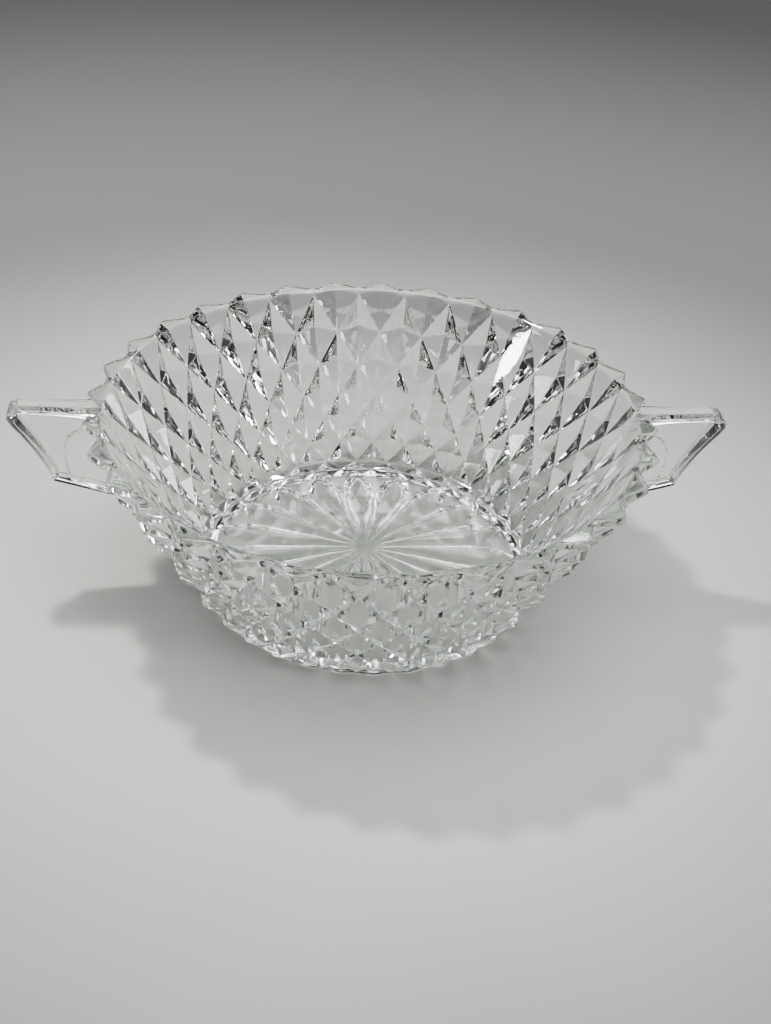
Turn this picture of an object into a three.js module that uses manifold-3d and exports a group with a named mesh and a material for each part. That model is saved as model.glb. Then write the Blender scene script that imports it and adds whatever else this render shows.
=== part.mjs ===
// Two-handled pressed-glass bowl. Millimetres, +Z up, origin at the centre of the foot on the table.
// The handles lie on the X axis. A lattice of four-sided diamond points covers the outside of the wall,
// the inside is smooth, and a rosette of petals is pressed into the underside of the base.
import * as THREE from 'three';
import { mergeVertices } from 'three/addons/utils/BufferGeometryUtils.js';
import Module from 'manifold-3d';

const wasm = await Module();
wasm.setup();

// Bowl
const bowlHeight = 80;
const rimInsideRadius = 108;
const floorInsideRadius = 71.3;
const floorHeight = 8.6;
const valleyThickness = 2.8;

// Diamond lattice: rows grow shorter and points lower towards the foot, by fixed ratios from row to row.
// On the foot's own line the points are cut short.
const diamondColumns = 32;
const diamondHeight = 6.8;
const diamondHeightRatio = 0.91;
const footPointHeight = 1.6;
const halfRows = 7;
const halfRowRatio = 0.885;
const rimBandHeight = 3;

// Base and rosette
const baseRecess = 2.2;
const domeRise = 6;
const rosetteRise = 4.6;
const petals = 20;
const petalDepth = 3.6;
const petalTipLength = 19.5;
const rosetteMargin = 2.2;

// Handles
const handleTopDrop = 0.2;
const handleReach = 38;
const handleEndDepth = 7;
const handleEndTaper = 2;
const handleEndRounding = 3.5;
const handleFootReach = 39;
const handleFootRise = 13;
const handleDepth = 47;
const handleHollow = 3;
const flangeThickness = 2.6;
const flangeTopWidth = 11;
const flangeFootWidth = 6;
const webThickness = 3.2;
const webFillet = 1.6;

// Gaps between neighbouring pieces
const seatGap = 0.3;
const handleGap = 0.4;

const segments = 2 * diamondColumns;
const wallSlope = (rimInsideRadius - floorInsideRadius) / (bowlHeight - floorHeight);
const smoothstep = THREE.MathUtils.smoothstep;
const lerp = THREE.MathUtils.lerp;

/** Radius of the smooth inside cone at a height. Below the floor the cone goes on as the base's seat. */
function insideRadius(z) {
  return floorInsideRadius + (z - floorHeight) * wallSlope;
}

const seatEdgeGap = seatGap * Math.hypot(1, wallSlope);
const baseLowerRadius = insideRadius(baseRecess) - seatEdgeGap;
const baseUpperRadius = insideRadius(floorHeight) - seatEdgeGap;
const petalTipRadius = baseLowerRadius - rosetteMargin;
const petalWidestRadius = petalTipRadius - petalTipLength;

/** Collects rings and points into one closed skin. Rings run counter-clockwise seen from above. */
class Skin {
  constructor() {
    this.positions = [];
    this.indices = [];
  }

  point(x, y, z) {
    this.positions.push(x, y, z);
    return this.positions.length / 3 - 1;
  }

  ring(count, pointAt) {
    return Array.from({ length: count }, (_, i) => this.point(...pointAt(i)));
  }

  triangle(a, b, c) {
    this.indices.push(a, b, c);
  }

  /** Joins two rings. The outside is on the right when walking from the first ring to the second. */
  join(from, to, splitsForward = () => true) {
    from.forEach((corner, i) => {
      const next = (i + 1) % from.length;
      if (splitsForward(i)) {
        this.triangle(corner, from[next], to[next]);
        this.triangle(corner, to[next], to[i]);
      } else {
        this.triangle(corner, from[next], to[i]);
        this.triangle(from[next], to[next], to[i]);
      }
    });
  }

  fanFrom(centre, ring) {
    ring.forEach((corner, i) => this.triangle(centre, ring[(i + 1) % ring.length], corner));
  }

  fanTo(ring, centre) {
    ring.forEach((corner, i) => this.triangle(corner, ring[(i + 1) % ring.length], centre));
  }

  geometry() {
    const geometry = new THREE.BufferGeometry();
    geometry.setAttribute('position', new THREE.Float32BufferAttribute(this.positions, 3));
    geometry.setIndex(this.indices);
    return geometry;
  }
}

function polar(radius, angle, z) {
  return [radius * Math.cos(angle), radius * Math.sin(angle), z];
}

// ---- Diamond lattice -------------------------------------------------------------------------

/** Height of lattice line number row. Line 0 is the first row of points, line halfRows is the foot. */
function latticeLineHeight(row) {
  const top = bowlHeight - rimBandHeight;
  return top * (1 - (1 - halfRowRatio ** row) / (1 - halfRowRatio ** halfRows));
}

/** Lattice line number, with its fraction, at which the rim's plane cuts the pattern above line 0. */
const rimLine = -rimBandHeight / (latticeLineHeight(-1) - latticeLineHeight(0));

/** Height of the points on a lattice line above the valleys. */
function pointHeight(row) {
  return row === halfRows ? footPointHeight : diamondHeight * diamondHeightRatio ** row;
}

/** Height of a facet above the valleys at a column and line: full on a point, 0 between the points. */
function facetHeight(column, line) {
  const row = Math.floor(line);
  const isPoint = Math.abs(column + row) % 2 === 1;
  return isPoint ? (row + 1 - line) * pointHeight(row) : (line - row) * pointHeight(row + 1);
}

/** Outside of the wall as rings from the foot up to the rim, grown outwards by a clearance. */
function addLattice(skin, growth) {
  const lines = [rimLine, ...Array.from({ length: halfRows + 1 }, (_, row) => row)];
  const rings = lines.map((line) => {
    const z = latticeLineHeight(line < 0 ? 0 : line) + (line < 0 ? rimBandHeight : 0);
    return skin.ring(segments, (column) => {
      const radius = insideRadius(z) + valleyThickness + growth + facetHeight(column, line);
      return polar(radius, (column * 2 * Math.PI) / segments, z);
    });
  });
  for (let line = halfRows; line >= 0; line -= 1) {
    skin.join(rings[line + 1], rings[line], (column) => (column + line) % 2 === 0);
  }
  return { foot: rings[rings.length - 1], rim: rings[0] };
}

/** Wall ring: lattice outside, flat rim, smooth inside that ends as the tapered seat, flat foot. */
function diamondWall() {
  const skin = new Skin();
  const { foot, rim } = addLattice(skin, 0);
  const angle = (i) => (i * 2 * Math.PI) / segments;
  const insideTop = skin.ring(segments, (i) => polar(insideRadius(bowlHeight), angle(i), bowlHeight));
  const insideFoot = skin.ring(segments, (i) => polar(insideRadius(0), angle(i), 0));
  skin.join(rim, insideTop);
  skin.join(insideTop, insideFoot);
  skin.join(insideFoot, foot);
  return skin.geometry();
}

/** Everything inside the lattice's outer skin, grown by the handle gap, to trim the handles' roots. */
function latticeEnvelope() {
  const skin = new Skin();
  const { foot, rim } = addLattice(skin, handleGap);
  skin.fanTo(rim, skin.point(0, 0, bowlHeight));
  skin.fanFrom(skin.point(0, 0, 0), foot);
  return skin.geometry();
}

// ---- Base ------------------------------------------------------------------------------------

/** Depth of the petal scoop at a radius, where across runs from 0 on a petal's middle to 1 on its edge. */
function scoopDepth(radius, across) {
  if (radius <= petalWidestRadius) {
    return petalDepth * (radius / petalWidestRadius) * (1 - across ** 2);
  }
  const towardsTip = (radius - petalWidestRadius) / (petalTipRadius - petalWidestRadius);
  const halfWidth = Math.sqrt(Math.max(0, 1 - towardsTip ** 2));
  return petalDepth * Math.max(0, halfWidth - across ** 2);
}

/** Base disc: domed floor above, recessed rosette below, tapered edge that sits in the wall's seat. */
function rosetteBase() {
  const samplesPerPetal = 4;
  const count = petals * samplesPerPetal;
  const rosetteRings = 9;
  const floorRings = 5;
  const skin = new Skin();
  const angle = (i) => (i * 2 * Math.PI) / count;
  const across = (i) => Math.abs(1 - ((i % samplesPerPetal) * 2) / samplesPerPetal);

  const underside = (radius, i) => {
    const cone = baseRecess + rosetteRise * (1 - radius / petalTipRadius);
    return cone + scoopDepth(radius, across(i));
  };
  const floor = (radius) => floorHeight + domeRise * (0.5 + 0.5 * Math.cos((Math.PI * radius) / petalTipRadius));

  const centreBelow = skin.point(0, 0, baseRecess + rosetteRise);
  let previous = null;
  for (let step = 1; step <= rosetteRings; step += 1) {
    const radius = (petalTipRadius * step) / rosetteRings;
    const ring = skin.ring(count, (i) => polar(radius, angle(i), underside(radius, i)));
    if (previous) {
      skin.join(previous, ring);
    } else {
      skin.fanFrom(centreBelow, ring);
    }
    previous = ring;
  }
  const lowerEdge = skin.ring(count, (i) => polar(baseLowerRadius, angle(i), baseRecess));
  const upperEdge = skin.ring(count, (i) => polar(baseUpperRadius, angle(i), floorHeight));
  skin.join(previous, lowerEdge);
  skin.join(lowerEdge, upperEdge);
  previous = upperEdge;
  for (let step = floorRings; step >= 1; step -= 1) {
    const radius = (petalTipRadius * step) / floorRings;
    const ring = skin.ring(count, (i) => polar(radius, angle(i), floor(radius)));
    skin.join(previous, ring);
    previous = ring;
  }
  skin.fanTo(previous, skin.point(0, 0, floor(0)));
  return skin.geometry();
}

// ---- Handles ---------------------------------------------------------------------------------

/** Stations from 0 to 1 that crowd at the flange's edge and fillet; sides says which ends have one. */
function stations(length, sides, middle) {
  const edge = flangeThickness / length;
  const foot = (flangeThickness + webFillet) / length;
  const start = sides.start ? [0, edge, foot] : [0];
  const end = sides.end ? [1 - foot, 1 - edge, 1] : [1];
  const from = start[start.length - 1];
  const between = Array.from({ length: middle }, (_, i) => lerp(from, end[0], (i + 1) / (middle + 1)));
  return [...start, ...between, ...end];
}

/** Outer edge of a handle in the radius-height plane, from the rounded end of the top bar downwards. */
function handleEdge() {
  const top = bowlHeight - handleTopDrop;
  const endRadius = rimInsideRadius + handleReach;
  const blockFoot = new THREE.Vector2(endRadius - handleEndTaper, top - handleEndDepth);
  const footHeight = top - handleDepth + handleFootRise;
  const foot = new THREE.Vector2(insideRadius(footHeight) + handleFootReach, footHeight);
  const middle = blockFoot.clone().add(foot).multiplyScalar(0.5).sub(new THREE.Vector2(handleHollow, 0));
  const path = new THREE.Path();
  path.moveTo(endRadius - handleEndRounding, top);
  path.quadraticCurveTo(endRadius, top, endRadius, top - handleEndRounding);
  path.lineTo(blockFoot.x, blockFoot.y);
  path.quadraticCurveTo(middle.x, middle.y, foot.x, foot.y);
  return path;
}

/** Flanged tab handle: a thin web with a thicker flange along its top, outer and lower edges. */
function handleBlank() {
  const top = bowlHeight - handleTopDrop;
  const rootInset = valleyThickness / 2;
  const rootTop = new THREE.Vector2(insideRadius(top) + rootInset, top);
  const rootFoot = new THREE.Vector2(insideRadius(top - handleDepth) + rootInset, top - handleDepth);
  const edge = handleEdge();
  const edgeLength = edge.getLength();
  const acrossLength = handleReach;
  const downs = stations(edgeLength, { start: true, end: true }, 7);
  const outs = stations(acrossLength, { start: false, end: true }, 3);

  const halfWidth = (out, down) => {
    const fromEdge = Math.min((1 - out) * acrossLength, down * edgeLength, (1 - down) * edgeLength);
    const flange = lerp(flangeTopWidth, flangeFootWidth, down) / 2;
    const fillet = smoothstep(fromEdge, flangeThickness, flangeThickness + webFillet);
    return lerp(flange, webThickness / 2, fillet);
  };
  const skin = new Skin();
  const side = (sign) => downs.map((down) => outs.map((out) => {
    const root = rootTop.clone().lerp(rootFoot, down);
    const place = root.lerp(edge.getPointAt(down), out);
    return skin.point(place.x, sign * halfWidth(out, down), place.y);
  }));
  const left = side(1);
  const right = side(-1);
  const quad = (a, b, c, d) => {
    skin.triangle(a, b, c);
    skin.triangle(a, c, d);
  };
  for (let i = 0; i < downs.length - 1; i += 1) {
    for (let j = 0; j < outs.length - 1; j += 1) {
      quad(left[i][j], left[i][j + 1], left[i + 1][j + 1], left[i + 1][j]);
      quad(right[i][j], right[i + 1][j], right[i + 1][j + 1], right[i][j + 1]);
    }
    const last = outs.length - 1;
    quad(left[i][0], left[i + 1][0], right[i + 1][0], right[i][0]);
    quad(left[i][last], right[i][last], right[i + 1][last], left[i + 1][last]);
  }
  for (let j = 0; j < outs.length - 1; j += 1) {
    const last = downs.length - 1;
    quad(left[0][j], right[0][j], right[0][j + 1], left[0][j + 1]);
    quad(left[last][j], left[last][j + 1], right[last][j + 1], right[last][j]);
  }
  return skin.geometry();
}

function toSolid(geometry) {
  const bare = geometry.clone();
  bare.deleteAttribute('normal');
  bare.deleteAttribute('uv');
  const merged = mergeVertices(bare, 1e-4);
  return new wasm.Manifold(new wasm.Mesh({
    numProp: 3,
    vertProperties: new Float32Array(merged.attributes.position.array),
    triVerts: new Uint32Array(merged.index.array),
  }));
}

function toGeometry(solid) {
  const mesh = solid.getMesh();
  const geometry = new THREE.BufferGeometry();
  geometry.setAttribute('position', new THREE.BufferAttribute(new Float32Array(mesh.vertProperties), 3));
  geometry.setIndex(new THREE.BufferAttribute(new Uint32Array(mesh.triVerts), 1));
  return geometry;
}

/** Handle with its root cut to follow the diamonds that it grows out of. */
function handle() {
  return toGeometry(toSolid(handleBlank()).subtract(toSolid(latticeEnvelope())));
}

// ---- Assembly --------------------------------------------------------------------------------

function clearGlass(colour) {
  return new THREE.MeshStandardMaterial({ color: colour, roughness: 0.06, metalness: 0 });
}

function piece(name, geometry, colour, turn = 0) {
  geometry.computeVertexNormals();
  const mesh = new THREE.Mesh(geometry, clearGlass(colour));
  mesh.name = name;
  mesh.rotation.z = turn;
  return mesh;
}

const bowl = new THREE.Group();
bowl.add(piece('diamond_wall', diamondWall(), 0xdbe5df));
bowl.add(piece('rosette_base', rosetteBase(), 0xd6e1da));
bowl.add(piece('right_handle', handle(), 0xdee7e2));
bowl.add(piece('left_handle', handle(), 0xdee7e2, Math.PI));

export default bowl;
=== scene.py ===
"""Clear pressed-glass bowl with two flanged handles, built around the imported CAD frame.

The bowl is one pressing. Its skin is made whole, then divided into the four CAD regions along cuts inside
the glass. The cut faces let light straight through, so the regions look like one piece of glass.
"""

import math

import bpy
import numpy as np
from mathutils import Matrix, Vector


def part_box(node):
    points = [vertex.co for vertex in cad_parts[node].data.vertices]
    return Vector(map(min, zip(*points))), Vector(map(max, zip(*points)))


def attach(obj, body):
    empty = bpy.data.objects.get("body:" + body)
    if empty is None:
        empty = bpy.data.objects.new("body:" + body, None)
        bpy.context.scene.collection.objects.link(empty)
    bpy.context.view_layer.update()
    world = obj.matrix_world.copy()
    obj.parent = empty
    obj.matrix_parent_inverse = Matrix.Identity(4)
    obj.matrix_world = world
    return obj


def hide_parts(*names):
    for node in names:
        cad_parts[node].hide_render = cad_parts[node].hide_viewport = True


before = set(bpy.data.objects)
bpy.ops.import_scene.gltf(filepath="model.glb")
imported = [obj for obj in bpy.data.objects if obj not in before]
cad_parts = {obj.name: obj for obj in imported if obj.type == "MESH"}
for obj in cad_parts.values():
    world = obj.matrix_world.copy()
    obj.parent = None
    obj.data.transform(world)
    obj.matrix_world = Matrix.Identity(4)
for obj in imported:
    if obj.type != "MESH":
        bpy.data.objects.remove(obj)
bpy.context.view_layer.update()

MM = 0.001
TAU = 2 * math.pi

# ---- Sizes in millimetres ---------------------------------------------------------------------

wall_high = np.array(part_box("diamond_wall")[1]) / MM
base_low, base_high = (np.array(corner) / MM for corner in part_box("rosette_base"))
grip_high = np.array(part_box("right_handle")[1]) / MM

# Bowl, lattice and base: the CAD's sizes, with roundings and a fillet that the CAD leaves out

BOWL_HEIGHT = wall_high[2]
RIM_INSIDE = 108.0
FLOOR_INSIDE = 71.3
FLOOR_HEIGHT = 8.6
DOME_RISE = base_high[2] - FLOOR_HEIGHT
BASE_RECESS = base_low[2]
VALLEY = 2.8

DIAMOND_COLUMNS = 32
HALF_COLUMNS = 2 * DIAMOND_COLUMNS
DIAMOND_HEIGHT = 6.8
DIAMOND_HEIGHT_RATIO = 0.91
FOOT_POINT_HEIGHT = 1.6
HALF_ROWS = 7
ROW_RATIO = 0.885
RIM_BAND = 3.0

# Rounding of the ridges, as a share of a lattice cell, and how much it grows per line above the first row
RIDGE_ROUNDING = 0.025
RIM_SOFTNESS = 1.2

RIM_ROUNDING = 1.0
RIM_INSIDE_ROUNDING = 1.0
FOOT_ROUNDING = 0.9
FLOOR_FILLET = 1.8
INSIDE_START = 2.5
INNERMOST_RING = 2.0

# Rosette: petals from PETAL_START out to PETAL_TIP, a little deeper than the CAD's
PETALS = 20
PETAL_DEPTH = 4.0
PETAL_HUB_DEPTH = 0.35
PETAL_TIP_WIDTH_POWER = 0.75
PETAL_TIP_DEPTH_POWER = 2.4
PETAL_MARGIN = 4.2
PETAL_TIP_LENGTH = 19.0
PETAL_TIP = base_high[0] - PETAL_MARGIN
PETAL_WIDEST = PETAL_TIP - PETAL_TIP_LENGTH
PETAL_START = 4.0
PETAL_HUB = 14.0
PETAL_LAND = 0.5
PETAL_LEAST = 0.1
ROSETTE_RISE = 4.6
RECESS_MARGIN = 1.5
RECESS_BEND_WIDTH = 11.0
UNDERSIDE_MARGIN = 4.0
RECESS_EDGE = base_high[0] - RECESS_MARGIN
RECESS_BEND = RECESS_EDGE - RECESS_BEND_WIDTH

SLOPE = (RIM_INSIDE - FLOOR_INSIDE) / (BOWL_HEIGHT - FLOOR_HEIGHT)


def inside_radius(z):
    """Radius of the smooth inside cone at a height. Below the floor the cone goes on inside the glass."""
    return FLOOR_INSIDE + (z - FLOOR_HEIGHT) * SLOPE


def smoothstep(x, low, high):
    """Rises smoothly from 0 at low to 1 at high. Low may be the larger of the two."""
    t = np.clip((x - low) / (high - low), 0.0, 1.0)
    return t * t * (3.0 - 2.0 * t)


# Waves round the bowl: number per turn, height in millimetres, twist per millimetre of height, start
WAVES = (
    (5, 0.050, 0.031, 0.4),
    (9, 0.035, -0.047, 1.9),
    (14, 0.022, 0.083, 3.1),
    (23, 0.012, -0.061, 5.2),
)

# Distances from the axis and from the rim over which the waves set in, and how they push the skin
WAVES_FROM_CENTRE = (8.0, 60.0)
WAVES_FROM_RIM = (2.0, 10.0)
WAVE_OUT = 0.86
WAVE_DOWN = 0.5


def ripple(angle, z):
    """Slow waves of a pressed surface, as heights in millimetres that repeat round the bowl."""
    return sum(size * np.sin(turns * angle + twist * z + start) for turns, size, twist, start in WAVES)


# ---- Mesh helpers -----------------------------------------------------------------------------

CREASE_ANGLE = 26.0


class Skin:
    """Collects rings of points and the faces between them. Rings run counter-clockwise from above."""

    def __init__(self):
        self.points = []
        self.faces = []
        self.count = 0

    def add(self, points):
        points = np.atleast_2d(points)
        start = self.count
        self.points.append(points)
        self.count += len(points)
        return np.arange(start, self.count)

    def join(self, lower, upper, forward=None):
        """Joins two rings by quads, or by triangles where forward says which way each quad is split."""
        a, b = lower, np.roll(lower, -1)
        d, c = upper, np.roll(upper, -1)
        if forward is None:
            self.faces += np.stack([a, b, c, d], 1).tolist()
            return
        first = np.where(forward[:, None], np.stack([a, b, c], 1), np.stack([a, b, d], 1))
        second = np.where(forward[:, None], np.stack([a, c, d], 1), np.stack([b, c, d], 1))
        self.faces += first.tolist() + second.tolist()

    def fan_from(self, centre, ring):
        self.faces += [[int(centre[0]), int(b), int(a)] for a, b in zip(ring, np.roll(ring, -1))]

    def fan_to(self, ring, centre):
        self.faces += [[int(a), int(b), int(centre[0])] for a, b in zip(ring, np.roll(ring, -1))]

    def patch(self, a, b, c, d):
        """Adds quads from four arrays of corners that run counter-clockwise seen from outside."""
        self.faces += np.stack([a.ravel(), b.ravel(), c.ravel(), d.ravel()], 1).tolist()

    def object(self, name, material_index=0):
        mesh = bpy.data.meshes.new(name)
        points = np.concatenate(self.points) * MM
        mesh.from_pydata(points.tolist(), [], self.faces)
        for material in (glass, fused):
            mesh.materials.append(material)
        mesh.polygons.foreach_set("material_index", [material_index] * len(mesh.polygons))
        mesh.update()
        obj = bpy.data.objects.new(name, mesh)
        bpy.context.scene.collection.objects.link(obj)
        return obj


def polar(radius, angle, z):
    """Points from radii, angles and heights, of which any may be a single number."""
    radius, angle, z = np.broadcast_arrays(radius, angle, z)
    return np.stack([radius * np.cos(angle), radius * np.sin(angle), z], -1)


def combine(target, other, operation):
    """Joins or cuts target by other, both closed, and returns target with its new mesh."""
    modifier = target.modifiers.new("combine", "BOOLEAN")
    modifier.solver = "MANIFOLD"
    modifier.operation = operation
    modifier.object = other
    bpy.context.view_layer.update()
    evaluated = target.evaluated_get(bpy.context.evaluated_depsgraph_get())
    mesh = bpy.data.meshes.new_from_object(evaluated)
    target.modifiers.remove(modifier)
    old = target.data
    target.data = mesh
    bpy.data.meshes.remove(old)
    return target


def copy_of(obj, name):
    """A copy with a mesh of its own."""
    twin = bpy.data.objects.new(name, obj.data.copy())
    bpy.context.scene.collection.objects.link(twin)
    return twin


def drop(obj):
    """Removes an object and its mesh."""
    mesh = obj.data
    bpy.data.objects.remove(obj)
    bpy.data.meshes.remove(mesh)


def shade(obj):
    """Smooth shading, with the creases between facets kept sharp."""
    mesh = obj.data
    mesh.shade_smooth()
    mesh.set_sharp_from_angle(angle=math.radians(CREASE_ANGLE))


# ---- Materials --------------------------------------------------------------------------------

GLASS_TINT = (0.92, 0.955, 0.93, 1.0)
GLASS_IOR = 1.52
POLISHED_ROUGHNESS = 0.004
MARKED_ROUGHNESS = 0.05

# Paper at a distance from the bowl's centre, in metres: colour by distance. This is a painted pool of light:
# the paper's own pale tone under the bowl, painted darker further out in place of light falling off
PAPER_PALE = (0.12, (0.36, 0.357, 0.35, 1.0))
PAPER_PAINTED_FALLOFF = (0.40, (0.14, 0.14, 0.14, 1.0))
PAPER_PAINTED_SHADE = (0.95, (0.07, 0.07, 0.072, 1.0))
PAPER_MOTTLE = 0.02


def noise_height(tree, coordinates, scale, detail, distance_mm, feeds=None):
    """Bump of a noise texture, in millimetres, stacked on an earlier bump."""
    noise = tree.nodes.new("ShaderNodeTexNoise")
    noise.inputs["Scale"].default_value = scale
    noise.inputs["Detail"].default_value = detail
    bump = tree.nodes.new("ShaderNodeBump")
    bump.inputs["Distance"].default_value = distance_mm * MM
    tree.links.new(coordinates, noise.inputs["Vector"])
    tree.links.new(noise.outputs["Fac"], bump.inputs["Height"])
    if feeds:
        tree.links.new(feeds, bump.inputs["Normal"])
    return bump.outputs["Normal"]


def pressed_glass():
    """Clear soda glass with a faint grey-green tint, fire-polished, slightly wavy, with handling marks."""
    material = bpy.data.materials.new("pressed_glass")
    material.use_nodes = True
    tree = material.node_tree
    shader = tree.nodes["Principled BSDF"]
    shader.inputs["Base Color"].default_value = GLASS_TINT
    shader.inputs["Transmission Weight"].default_value = 1.0
    shader.inputs["IOR"].default_value = GLASS_IOR
    coordinates = tree.nodes.new("ShaderNodeTexCoord").outputs["Object"]

    marks = tree.nodes.new("ShaderNodeTexNoise")
    marks.inputs["Scale"].default_value = 38.0
    marks.inputs["Detail"].default_value = 5.0
    wear = tree.nodes.new("ShaderNodeMapRange")
    wear.inputs["From Min"].default_value = 0.52
    wear.inputs["From Max"].default_value = 0.78
    wear.inputs["To Min"].default_value = POLISHED_ROUGHNESS
    wear.inputs["To Max"].default_value = MARKED_ROUGHNESS
    tree.links.new(coordinates, marks.inputs["Vector"])
    tree.links.new(marks.outputs["Fac"], wear.inputs["Value"])
    tree.links.new(wear.outputs["Result"], shader.inputs["Roughness"])

    # Slow waves of the pressing, then a finer texture on them
    wavy = noise_height(tree, coordinates, 70.0, 1.0, 0.05)
    fine = noise_height(tree, coordinates, 420.0, 2.0, 0.008, wavy)
    tree.links.new(fine, shader.inputs["Normal"])
    return material


def fused_joint():
    """The inside of the glass where two regions of the one pressing meet: nothing is there to see."""
    material = bpy.data.materials.new("fused_joint")
    material.use_nodes = True
    tree = material.node_tree
    tree.nodes.remove(tree.nodes["Principled BSDF"])
    clear = tree.nodes.new("ShaderNodeBsdfTransparent")
    tree.links.new(clear.outputs["BSDF"], tree.nodes["Material Output"].inputs["Surface"])
    return material


def painted_light_pool_sweep():
    """Matt paper with a painted pool of light: its own pale tone under and round the bowl, painted shade
    darker further out, with a faint mottle.
    """
    material = bpy.data.materials.new("sweep_painted_light_pool")
    material.use_nodes = True
    tree = material.node_tree
    shader = tree.nodes["Principled BSDF"]
    shader.inputs["Roughness"].default_value = 0.7
    coordinates = tree.nodes.new("ShaderNodeTexCoord").outputs["Object"]
    distance = tree.nodes.new("ShaderNodeVectorMath")
    distance.operation = "LENGTH"
    noise = tree.nodes.new("ShaderNodeTexNoise")
    noise.inputs["Scale"].default_value = 9.0
    mottle = tree.nodes.new("ShaderNodeMath")
    mottle.operation = "MULTIPLY_ADD"
    mottle.inputs[1].default_value = PAPER_MOTTLE
    # Painted light falloff: this ramp darkens the paper from pale near the bowl to dark far out, standing in
    # for a pool of light
    ramp = tree.nodes.new("ShaderNodeValToRGB")
    ramp.color_ramp.interpolation = "EASE"
    stops = ramp.color_ramp.elements
    stops[0].position, stops[0].color = PAPER_PALE
    stops[1].position, stops[1].color = PAPER_PAINTED_SHADE
    stops.new(PAPER_PAINTED_FALLOFF[0]).color = PAPER_PAINTED_FALLOFF[1]
    tree.links.new(coordinates, distance.inputs[0])
    tree.links.new(coordinates, noise.inputs["Vector"])
    tree.links.new(noise.outputs["Fac"], mottle.inputs[0])
    tree.links.new(distance.outputs["Value"], mottle.inputs[2])
    tree.links.new(mottle.outputs["Value"], ramp.inputs["Fac"])
    tree.links.new(ramp.outputs["Color"], shader.inputs["Base Color"])
    return material


# ---- Diamond lattice --------------------------------------------------------------------------

# Where the skin's points lie across a lattice cell, closer together near the ridges
CELL_STATIONS = np.array([0.0, 0.035, 0.1, 0.28, 0.5, 0.72, 0.9, 0.965])
LEAST_STEP = 0.02


def line_height(line):
    """Height of lattice line number line: 0 is the first row of points and HALF_ROWS is the foot."""
    top = BOWL_HEIGHT - RIM_BAND
    return top * (1 - (1 - ROW_RATIO**line) / (1 - ROW_RATIO**HALF_ROWS))


def line_at(z):
    """Lattice line number, with its fraction, at a height in the first row or in the band above it."""
    return (line_height(0) - z) / (line_height(-1) - line_height(0))


def point_height(line):
    """Height of the points on a line above the valleys. The foot's own line cuts the points short."""
    if line > HALF_ROWS - 1:
        start = DIAMOND_HEIGHT * DIAMOND_HEIGHT_RATIO ** (HALF_ROWS - 1)
        return start + (line - HALF_ROWS + 1) * (FOOT_POINT_HEIGHT - start)
    return DIAMOND_HEIGHT * DIAMOND_HEIGHT_RATIO**line


def lattice_node(column, line):
    """Corner of a facet: a point where column and line add up to an odd number, a valley elsewhere."""
    z = line_height(line)
    proud = np.where((column + line) % 2 == 1, point_height(line), 0.0)
    return polar(inside_radius(z) + VALLEY + proud, column * TAU / HALF_COLUMNS, z)


def softened(share, r):
    """A share from 0 to 1 whose slope eases off at both ends by r, which rounds the ridges there."""
    return 0.5 + 0.5 * (np.sqrt(share**2 + r * r) - np.sqrt((1 - share) ** 2 + r * r))


def lattice_points(columns, line):
    """Points of the outside skin along one line: flat facets between nodes, with rounded ridges."""
    column = np.floor(columns).astype(int)
    row = math.floor(line)
    right = columns - column
    down = line - row
    peak_here = (column + row) % 2 == 1
    p00, p10 = lattice_node(column, row), lattice_node(column + 1, row)
    p01, p11 = lattice_node(column, row + 1), lattice_node(column + 1, row + 1)

    def facet(peak, along, below, a, b):
        return peak + a[:, None] * (along - peak) + b * (below - peak)

    falling = np.where(
        (right + down <= 1)[:, None],
        facet(p00, p10, p01, right, down),
        facet(p11, p01, p10, 1 - right, 1 - down),
    )
    rising = np.where(
        (right >= down)[:, None],
        facet(p10, p00, p11, 1 - right, down),
        facet(p01, p11, p00, right, 1 - down),
    )
    points = np.where(peak_here[:, None], falling, rising)
    across = np.where(peak_here, right, 1 - right)
    sharp = np.abs(1 - across - down)
    rounding = RIDGE_ROUNDING + RIM_SOFTNESS * max(0.0, -line)
    soft = np.abs(1 - softened(across, rounding) - softened(down, RIDGE_ROUNDING))
    angle = columns * TAU / HALF_COLUMNS
    return points + polar((soft - sharp) * point_height(line), angle, 0.0)


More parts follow.
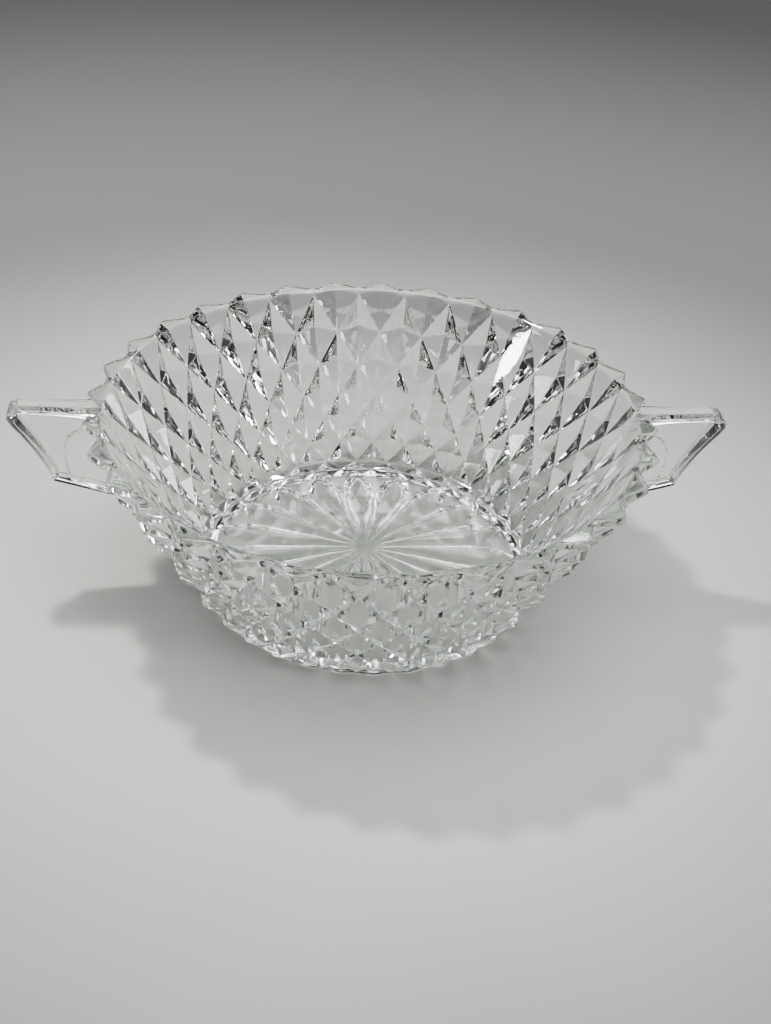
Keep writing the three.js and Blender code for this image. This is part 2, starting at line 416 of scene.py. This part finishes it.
def bowl_blank():
    """Whole bowl without handles or rosette: diamonds, rim, inside, domed floor and flat underside."""
    columns = (np.arange(HALF_COLUMNS)[:, None] + CELL_STATIONS[None, :]).ravel()
    angles = columns * TAU / HALF_COLUMNS
    column = np.floor(columns).astype(int)
    skin = Skin()

    # Foot edge, rounded inwards below the last row of points
    foot_line = HALF_ROWS - FOOT_ROUNDING / (line_height(HALF_ROWS - 1) - line_height(HALF_ROWS))
    rings = []
    for turn in np.radians((90, 60, 30)):
        points = lattice_points(columns, foot_line)
        inward = FOOT_ROUNDING * (1 - math.cos(turn))
        points = points - polar(inward, angles, 0.0)
        points[:, 2] = FOOT_ROUNDING * (1 - math.sin(turn))
        rings.append((points, HALF_ROWS - 1))
    # Diamonds, from the foot up to the first row of points
    lines = [foot_line]
    for row in range(HALF_ROWS - 1, -1, -1):
        stations = [row + share for share in CELL_STATIONS[::-1]]
        lines += [line for line in stations if line < foot_line - LEAST_STEP]
    rings += [(lattice_points(columns, line), math.floor(line)) for line in lines]
    # Band above the first row, rounded over into the flat rim
    band_top = BOWL_HEIGHT - RIM_ROUNDING
    for z in np.linspace(BOWL_HEIGHT - RIM_BAND, band_top, 4)[1:]:
        rings.append((lattice_points(columns, line_at(z)), -1))
    for turn in np.radians((15, 30, 45, 60, 75, 90)):
        z = band_top + RIM_ROUNDING * math.sin(turn)
        points = lattice_points(columns, line_at(z))
        points = points - polar(RIM_ROUNDING * (1 - math.cos(turn)), angles, 0.0)
        rings.append((points, -1))

    previous = None
    first = None
    for points, row in rings:
        ring = skin.add(points)
        if previous is None:
            first = ring
        else:
            skin.join(previous, ring, (column + row) % 2 == 1)
        previous = ring

    # Flat rim, then its rounded inside edge
    rim_outside = rings[-1][0]
    edge_inside = RIM_INSIDE + RIM_INSIDE_ROUNDING
    outside_radius = np.hypot(rim_outside[:, 0], rim_outside[:, 1])
    for share in (0.25, 0.5, 0.75):
        radius = outside_radius + share * (edge_inside - outside_radius)
        ring = skin.add(polar(radius, angles, BOWL_HEIGHT))
        skin.join(previous, ring)
        previous = ring
    for turn in np.radians((90, 67, 45, 22, 0)):
        z = BOWL_HEIGHT - RIM_INSIDE_ROUNDING * (1 - math.sin(turn))
        radius = inside_radius(z) + RIM_INSIDE_ROUNDING * (1 - math.cos(turn))
        ring = skin.add(polar(radius, angles, z))
        skin.join(previous, ring)
        previous = ring

    # Inside of the wall, the floor and the underside
    for radius, z in inside_profile():
        fade = smoothstep(radius, *WAVES_FROM_CENTRE) * smoothstep(BOWL_HEIGHT - z, *WAVES_FROM_RIM)
        wave = ripple(angles, z) * fade
        ring = skin.add(polar(radius + wave * WAVE_OUT, angles, z - wave * WAVE_DOWN))
        skin.join(previous, ring)
        previous = ring
    skin.fan_to(previous, skin.add((0.0, 0.0, FLOOR_HEIGHT + DOME_RISE)))

    underside = skin.add(polar(RECESS_EDGE - UNDERSIDE_MARGIN, angles, 0.0))
    skin.join(underside, first)
    skin.fan_from(skin.add((0.0, 0.0, 0.0)), underside)
    return skin.object("bowl_blank")


def floor_height(radius):
    """Top of the floor, which rises to a low dome in the middle."""
    return FLOOR_HEIGHT + DOME_RISE * (0.5 + 0.5 * np.cos(np.pi * np.minimum(radius / PETAL_TIP, 1.0)))


def inside_profile():
    """Radius and height of each ring of the smooth inside, from under the rim to near the centre."""
    lean = math.atan(SLOPE)
    turn_total = math.pi / 2 - lean
    reach = FLOOR_FILLET * math.tan(turn_total / 2)
    wall_end = FLOOR_HEIGHT + reach * math.cos(lean)
    profile = [(inside_radius(z), z) for z in np.linspace(BOWL_HEIGHT - INSIDE_START, wall_end, 26)]
    centre_radius = FLOOR_INSIDE - reach
    for turn in np.linspace(turn_total, 0, 7)[1:]:
        radius = centre_radius + FLOOR_FILLET * math.sin(turn)
        profile.append((radius, FLOOR_HEIGHT + FLOOR_FILLET * (1 - math.cos(turn))))
    for radius in np.linspace(centre_radius, INNERMOST_RING, 26)[1:]:
        profile.append((radius, float(floor_height(radius))))
    return profile


# ---- Rosette ----------------------------------------------------------------------------------

# How far the recess cutter goes on below the foot
MOUTH_FLARE = 0.2
MOUTH_DROP = 1.0


def petal_half_width(radius):
    """Half the width of a petal at a radius: half the pitch less the land, closing to a pointed oval tip."""
    full = radius * math.pi / PETALS - PETAL_LAND / 2
    if radius <= PETAL_WIDEST:
        return max(full, PETAL_LEAST)
    towards_tip = (radius - PETAL_WIDEST) / (PETAL_TIP - PETAL_WIDEST)
    widest = PETAL_WIDEST * math.pi / PETALS - PETAL_LAND / 2
    return max(widest * max(0.0, 1 - towards_tip**2) ** PETAL_TIP_WIDTH_POWER, PETAL_LEAST)


def petal_depth(radius):
    """Depth of a petal's scoop along its middle: shallow at the hub, deep near the tip."""
    start = smoothstep(radius, PETAL_START, PETAL_START + PETAL_HUB)
    if radius <= PETAL_WIDEST:
        return PETAL_DEPTH * start * (PETAL_HUB_DEPTH + (1 - PETAL_HUB_DEPTH) * radius / PETAL_WIDEST)
    towards_tip = (radius - PETAL_WIDEST) / (PETAL_TIP - PETAL_WIDEST)
    return PETAL_DEPTH * math.sqrt(max(0.0, 1 - towards_tip**PETAL_TIP_DEPTH_POWER))


def recess_cutter():
    """The hollow under the base: a cone that bends down to the foot, with petal scoops in its ceiling."""
    scoop = np.linspace(-1, 1, 17)
    land = np.linspace(0, 1, 5)[1:-1]
    skin = Skin()

    def ring_at(radius):
        half = petal_half_width(radius)
        half_pitch = radius * math.pi / PETALS
        offsets = np.concatenate([scoop * half, half + land * 2 * (half_pitch - half)])
        depth = np.concatenate([petal_depth(radius) * (1 - scoop**2), land * 0])
        turns = np.arange(PETALS)[:, None] * TAU / PETALS
        angles = (turns + (offsets / radius)[None, :]).ravel()
        cone = BASE_RECESS + ROSETTE_RISE * max(0.0, 1 - radius / PETAL_TIP)
        bend = BASE_RECESS * max(0.0, (radius - RECESS_BEND) / (RECESS_EDGE - RECESS_BEND)) ** 2
        return polar(radius, angles, cone - bend + np.tile(depth, PETALS))

    inner = np.linspace(PETAL_START, PETAL_WIDEST, 16)
    towards_tip = np.sin(np.linspace(0, math.pi / 2, 15))[1:]
    outer = PETAL_WIDEST + (PETAL_TIP - PETAL_WIDEST) * towards_tip
    radii = np.concatenate([inner, outer, np.linspace(PETAL_TIP, RECESS_EDGE, 5)[1:]])
    previous = None
    centre = skin.add((0.0, 0.0, BASE_RECESS + ROSETTE_RISE))
    for radius in radii[::-1]:
        ring = skin.add(ring_at(radius))
        if previous is None:
            outermost = ring
        else:
            skin.join(previous, ring)
        previous = ring
    skin.fan_to(previous, centre)
    rim = ring_at(RECESS_EDGE)
    angles = np.arctan2(rim[:, 1], rim[:, 0])
    mouth = skin.add(polar(RECESS_EDGE + MOUTH_FLARE, angles, -MOUTH_DROP))
    skin.join(mouth, outermost)
    skin.fan_from(skin.add((0.0, 0.0, -MOUTH_DROP)), mouth)
    return skin.object("recess_cutter")


# ---- Handles ----------------------------------------------------------------------------------

HANDLE_TOP = grip_high[2]
HANDLE_END = grip_high[0]
HANDLE_DEPTH = 47.0
HANDLE_FOOT_RADIUS = 129.5
HANDLE_FOOT_DROP = 34.0
END_DEPTH = 7.0
END_TAPER = 2.0
END_ROUNDING = 3.5
HANDLE_HOLLOW = 3.0

# Half widths across the handle, from its middle plane, and the flange's depth in from the free edge
FLANGE = 2.4
FLANGE_TOP_HALF = grip_high[1]
FLANGE_FOOT_HALF = 3.0
FLANGE_ROUNDING = 0.9
WEB_HALF = 1.6
WEB_FILLET = 1.8

# Flares where the handle meets the wall
FLANGE_FLARE = 1.6
FLANGE_FLARE_LENGTH = 6.0
WEB_FLARE = 1.2
WEB_FLARE_LENGTH = 3.5
FLARE_START = 3.0

# Thicker panel of the web next to the wall: its step, middle, radii and the span of its sloping edge
PANEL_STEP = 0.8
PANEL_MIDDLE = (106.0, HANDLE_TOP - 23.5)
PANEL_RADII = (18.0, 14.0)
PANEL_EDGE = (1.05, 0.95)

# Share of even spacing in the handle's mesh lines. The rest crowds them towards the edges.
EVENNESS = 0.45


def quadratic(a, b, c, count):
    """Points along a quadratic curve from a to c that leaves and arrives towards b."""
    t = np.linspace(0, 1, count)[:, None]
    return (1 - t) ** 2 * a + 2 * t * (1 - t) * b + t * t * c


def handle_edge(count):
    """Points along the handle's outer edge, from the end of the top bar to the foot, and its length."""
    end, top = HANDLE_END, HANDLE_TOP
    start = np.array([end - END_ROUNDING, top])
    corner = np.array([end, top])
    below = np.array([end, top - END_ROUNDING])
    block = np.array([end - END_TAPER, top - END_DEPTH])
    foot = np.array([HANDLE_FOOT_RADIUS, top - HANDLE_FOOT_DROP])
    hollow = (block + foot) / 2 - np.array([HANDLE_HOLLOW, 0.0])
    pieces = [quadratic(start, corner, below, 12), np.linspace(below, block, 6)[1:]]
    pieces.append(quadratic(block, hollow, foot, 40)[1:])
    dense = np.concatenate(pieces)
    lengths = np.concatenate([[0.0], np.cumsum(np.hypot(*np.diff(dense, axis=0).T))])
    stations = crowded(count) * lengths[-1]
    line = np.stack([np.interp(stations, lengths, dense[:, axis]) for axis in (0, 1)], -1)
    return line, lengths[-1]


def crowded(count):
    """Shares from 0 to 1 that lie closer together towards both ends."""
    t = np.linspace(0, 1, count)
    return EVENNESS * t + (1 - EVENNESS) * (0.5 - 0.5 * np.cos(np.pi * t))


def handle_blank(name, side):
    """Flanged tab: thin web, thicker rounded flange round its free edges, root inside the wall's glass."""
    rows, steps = 91, 91
    edge, edge_length = handle_edge(rows)
    downs = crowded(rows)
    outs = crowded(steps)
    root_top = np.array([inside_radius(HANDLE_TOP) + VALLEY / 2, HANDLE_TOP])
    root_low = HANDLE_TOP - HANDLE_DEPTH
    root_foot = np.array([inside_radius(root_low) + VALLEY / 2, root_low])
    root = root_top + downs[:, None] * (root_foot - root_top)
    place = root[:, None] + outs[None, :, None] * (edge[:, None] - root[:, None])
    width = np.hypot(*(edge - root).T)[:, None]

    out_gap = (1 - outs)[None, :] * width
    top_gap = np.broadcast_to((downs * edge_length)[:, None], out_gap.shape)
    foot_gap = np.broadcast_to(((1 - downs) * edge_length)[:, None], out_gap.shape)
    rim_gap = np.minimum(np.minimum(top_gap, foot_gap), out_gap)
    from_wall = np.maximum(outs[None, :] * width - FLARE_START, 0.0)

    flange = FLANGE_TOP_HALF + (FLANGE_FOOT_HALF - FLANGE_TOP_HALF) * downs[:, None]
    flange = flange + FLANGE_FLARE * np.exp(-from_wall / FLANGE_FLARE_LENGTH)
    beyond = ((place[..., 0] - PANEL_MIDDLE[0]) / PANEL_RADII[0]).clip(0)
    above = np.abs((place[..., 1] - PANEL_MIDDLE[1]) / PANEL_RADII[1])
    panel = smoothstep(beyond**3 + above**3, *PANEL_EDGE)
    web = WEB_HALF + PANEL_STEP * panel + WEB_FLARE * np.exp(-from_wall / WEB_FLARE_LENGTH)
    half = flange + (web - flange) * smoothstep(rim_gap, FLANGE, FLANGE + WEB_FILLET)
    near = np.clip(rim_gap / FLANGE_ROUNDING, 0.0, 1.0)
    half = half - FLANGE_ROUNDING * (1 - np.sqrt(1 - (1 - near) ** 2))

    skin = Skin()
    sides = []
    for sign in (1, -1):
        points = np.stack([place[..., 0], sign * half, place[..., 1]], -1).reshape(-1, 3)
        points = points * np.array([side, side, 1.0])
        sides.append(skin.add(points).reshape(rows, steps))
    left, right = sides
    skin.patch(left[:-1, :-1], left[:-1, 1:], left[1:, 1:], left[1:, :-1])
    skin.patch(right[:-1, :-1], right[1:, :-1], right[1:, 1:], right[:-1, 1:])
    skin.patch(left[:-1, 0], left[1:, 0], right[1:, 0], right[:-1, 0])
    skin.patch(left[:-1, -1], right[:-1, -1], right[1:, -1], left[1:, -1])
    skin.patch(left[0, :-1], right[0, :-1], right[0, 1:], left[0, 1:])
    skin.patch(left[-1, :-1], left[-1, 1:], right[-1, 1:], right[-1, :-1])
    return skin.object(name)


# ---- Cuts between the regions -----------------------------------------------------------------

# Plug round the base: its inset from the cone, its ends, and the shoulder above the floor
SEAT_MARGIN = 0.2
SEAT_LOW = -2.0
SEAT_HIGH = 12.0
SEAT_SHOULDER = 8.0
SEAT_HEADROOM = 4.0

# Block round a handle: half its angle in degrees, its margins, and how deep in the wall it starts
ROOT_HALF_ANGLE = 3.2
ROOT_BELOW = 4.0
ROOT_RIM_MARGIN = 0.6
ROOT_DEPTH = 0.75 * VALLEY
ROOT_BEYOND = 6.0


def seat_cutter():
    """Plug whose upright side divides the base from the wall inside the glass, short of the fillet."""
    angles = np.arange(256) * TAU / 256
    skin = Skin()
    split = inside_radius(0.0) - SEAT_MARGIN
    top = FLOOR_HEIGHT + DOME_RISE + SEAT_HEADROOM
    lower = skin.add(polar(split, angles, SEAT_LOW))
    upper = skin.add(polar(split, angles, SEAT_HIGH))
    skin.fan_from(skin.add((0.0, 0.0, SEAT_LOW)), lower)
    skin.join(lower, upper)
    shoulder = skin.add(polar(split - SEAT_SHOULDER, angles, top))
    skin.join(upper, shoulder)
    skin.fan_to(shoulder, skin.add((0.0, 0.0, top)))
    return skin.object("seat_cutter", 1)


def root_cutter(side):
    """Block that takes in one handle, with its inner face on a cone inside the wall's glass."""
    rows, steps = 12, 9
    half_angle = math.radians(ROOT_HALF_ANGLE)
    heights = np.linspace(HANDLE_TOP - HANDLE_DEPTH - ROOT_BELOW, BOWL_HEIGHT - ROOT_RIM_MARGIN, rows)
    turns = np.linspace(-half_angle, half_angle, steps)
    skin = Skin()
    inner = np.concatenate([polar(inside_radius(z) + ROOT_DEPTH, turns, z) for z in heights])
    outer = np.concatenate([polar(HANDLE_END + ROOT_BEYOND, turns, z) for z in heights])
    inner = skin.add(inner).reshape(rows, steps)
    outer = skin.add(outer).reshape(rows, steps)
    skin.patch(outer[:-1, :-1], outer[:-1, 1:], outer[1:, 1:], outer[1:, :-1])
    skin.patch(inner[:-1, :-1], inner[1:, :-1], inner[1:, 1:], inner[:-1, 1:])
    skin.patch(inner[:-1, 0], outer[:-1, 0], outer[1:, 0], inner[1:, 0])
    skin.patch(inner[:-1, -1], inner[1:, -1], outer[1:, -1], outer[:-1, -1])
    skin.patch(inner[0, :-1], inner[0, 1:], outer[0, 1:], outer[0, :-1])
    skin.patch(inner[-1, :-1], outer[-1, :-1], outer[-1, 1:], inner[-1, 1:])
    cutter = skin.object("root_cutter", 1)
    if side < 0:
        cutter.data.transform(Matrix.Rotation(math.pi, 4, "Z"))
    return cutter


def take_region(whole, cutter, name):
    """Cuts a region out of the whole along the cutter, and returns it as a piece of its own."""
    region = combine(copy_of(whole, name), cutter, "INTERSECT")
    combine(whole, cutter, "DIFFERENCE")
    drop(cutter)
    return region


# ---- The pressing -----------------------------------------------------------------------------

glass = pressed_glass()
fused = fused_joint()

wall = bowl_blank()
wall.name = "diamond_wall_glass"
recess = recess_cutter()
combine(wall, recess, "DIFFERENCE")
drop(recess)
for side, title in ((1, "right_handle_blank"), (-1, "left_handle_blank")):
    blank = handle_blank(title, side)
    combine(wall, blank, "UNION")
    drop(blank)

base = take_region(wall, seat_cutter(), "rosette_base_glass")
right_grip = take_region(wall, root_cutter(1), "right_handle_glass")
left_grip = take_region(wall, root_cutter(-1), "left_handle_glass")

PIECES = (
    (wall, "diamond_wall", "wall_glass"),
    (base, "rosette_base", "base_glass"),
    (right_grip, "right_handle", "handle_glass"),
    (left_grip, "left_handle", "handle_glass"),
)
for piece, node, slot in PIECES:
    shade(piece)
    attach(piece, "root")
    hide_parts(node)


# ---- Studio -----------------------------------------------------------------------------------

# The sweep in millimetres. It lies just below the foot, so that glass and paper never share a plane.
SWEEP_FLOOR = 900.0
SWEEP_BEND = 380.0
SWEEP_HEIGHT = 800.0
FLOOR_GAP = 0.15


def studio_sweep():
    """Round pale floor that curves up into a darker backdrop all round, with a painted pool of light: pale
    round the bowl, painted shade darker outwards over the sweep.
    """
    angles = np.arange(96) * TAU / 96
    skin = Skin()
    profile = [(SWEEP_FLOOR * share, 0.0) for share in (0.1, 0.3, 0.6, 1.0)]
    for turn in np.radians(np.linspace(9, 90, 10)):
        profile.append((SWEEP_FLOOR + SWEEP_BEND * math.sin(turn), SWEEP_BEND * (1 - math.cos(turn))))
    profile.append((SWEEP_FLOOR + SWEEP_BEND, SWEEP_HEIGHT))
    rings = [skin.add(polar(radius, angles, z)) for radius, z in profile]
    for inner, outer in zip(rings, rings[1:]):
        skin.join(outer, inner)
    skin.fan_to(rings[0], skin.add((0.0, 0.0, 0.0)))
    sweep = skin.object("studio_sweep")
    sweep.data.materials.clear()
    # The sweep's paint is a painted pool of light that fades to painted shade towards the backdrop
    sweep.data.materials.append(painted_light_pool_sweep())
    sweep.data.shade_smooth()
    sweep.location.z = -FLOOR_GAP * MM


def softbox(name, place, size, power, colour):
    """Rectangular soft light that faces the bowl. Metres and watts."""
    light = bpy.data.lights.new(name, "AREA")
    light.shape = "RECTANGLE"
    light.size, light.size_y = size
    light.energy = power
    light.color = colour
    lamp = bpy.data.objects.new(name, light)
    lamp.location = place
    lamp.rotation_euler = (Vector((0, 0, 0.04)) - lamp.location).to_track_quat("-Z", "Y").to_euler()
    lamp.visible_camera = False
    bpy.context.scene.collection.objects.link(lamp)


def studio_world():
    """Dark room with a large soft light overhead, seen as bright and dark facets in the glass.

    Brightness goes by the height of the direction, from level at 0 to straight up at 1.
    """
    world = bpy.data.worlds.new("studio")
    world.use_nodes = True
    tree = world.node_tree
    coordinates = tree.nodes.new("ShaderNodeTexCoord").outputs["Generated"]
    split = tree.nodes.new("ShaderNodeSeparateXYZ")
    ramp = tree.nodes.new("ShaderNodeValToRGB")
    stops = ramp.color_ramp.elements
    stops[0].position, stops[0].color = 0.0, (0.03, 0.03, 0.032, 1.0)
    stops[1].position, stops[1].color = 1.0, (3.4, 3.4, 3.35, 1.0)
    for height, grey in ((0.50, 0.02), (0.80, 0.04), (0.87, 3.0)):
        stops.new(height).color = (grey, grey, grey, 1.0)
    tree.links.new(coordinates, split.inputs["Vector"])
    tree.links.new(split.outputs["Z"], ramp.inputs["Fac"])
    tree.links.new(ramp.outputs["Color"], tree.nodes["Background"].inputs["Color"])
    bpy.context.scene.world = world


def photo_camera():
    """Hand-held view from above and in front, with the handles turned slightly. Metres and degrees."""
    pitch = math.radians(35.0)
    roll = math.radians(3.74)
    yaw = math.radians(-5.9)
    distance = 0.5986
    aim_right, aim_down = 0.0051, 0.0414
    forward = Vector((0, math.cos(pitch), -math.sin(pitch)))
    level = Vector((1, 0, 0))
    upward = Vector((0, math.sin(pitch), math.cos(pitch)))
    right = math.cos(roll) * level + math.sin(roll) * upward
    up = math.cos(roll) * upward - math.sin(roll) * level
    place = aim_right * right - aim_down * up - distance * forward
    turn = Matrix.Rotation(yaw, 4, "Z")
    axes = Matrix((right, up, -forward)).transposed().to_4x4()
    camera = bpy.data.cameras.new("photo_camera")
    camera.lens = 52.0
    camera.sensor_width = 36.0
    camera.clip_start = 0.01
    obj = bpy.data.objects.new("photo_camera", camera)
    lift = Matrix.Translation((0, 0, BOWL_HEIGHT * MM))
    obj.matrix_world = lift @ turn @ Matrix.Translation(place) @ axes
    bpy.context.scene.collection.objects.link(obj)
    bpy.context.scene.camera = obj


studio_sweep()
studio_world()
softbox("key_softbox", (-0.34, 0.42, 1.05), (0.09, 0.09), 9.0, (1.0, 0.98, 0.94))
softbox("front_softbox", (0.55, -0.85, 1.2), (0.35, 0.35), 5.0, (1.0, 1.0, 1.0))
softbox("window_softbox", (-0.84, -0.20, 0.39), (0.14, 0.035), 0.8, (1.0, 1.0, 1.0))
softbox("edge_softbox", (0.9, 0.7, 0.55), (0.12, 0.5), 2.0, (1.0, 1.0, 1.0))
photo_camera()

scene = bpy.context.scene
scene.cycles.max_bounces = 24
scene.cycles.transmission_bounces = 24
scene.cycles.glossy_bounces = 12
scene.cycles.transparent_max_bounces = 16
scene.cycles.blur_glossy = 0.6
scene.view_settings.look = "AgX - High Contrast"
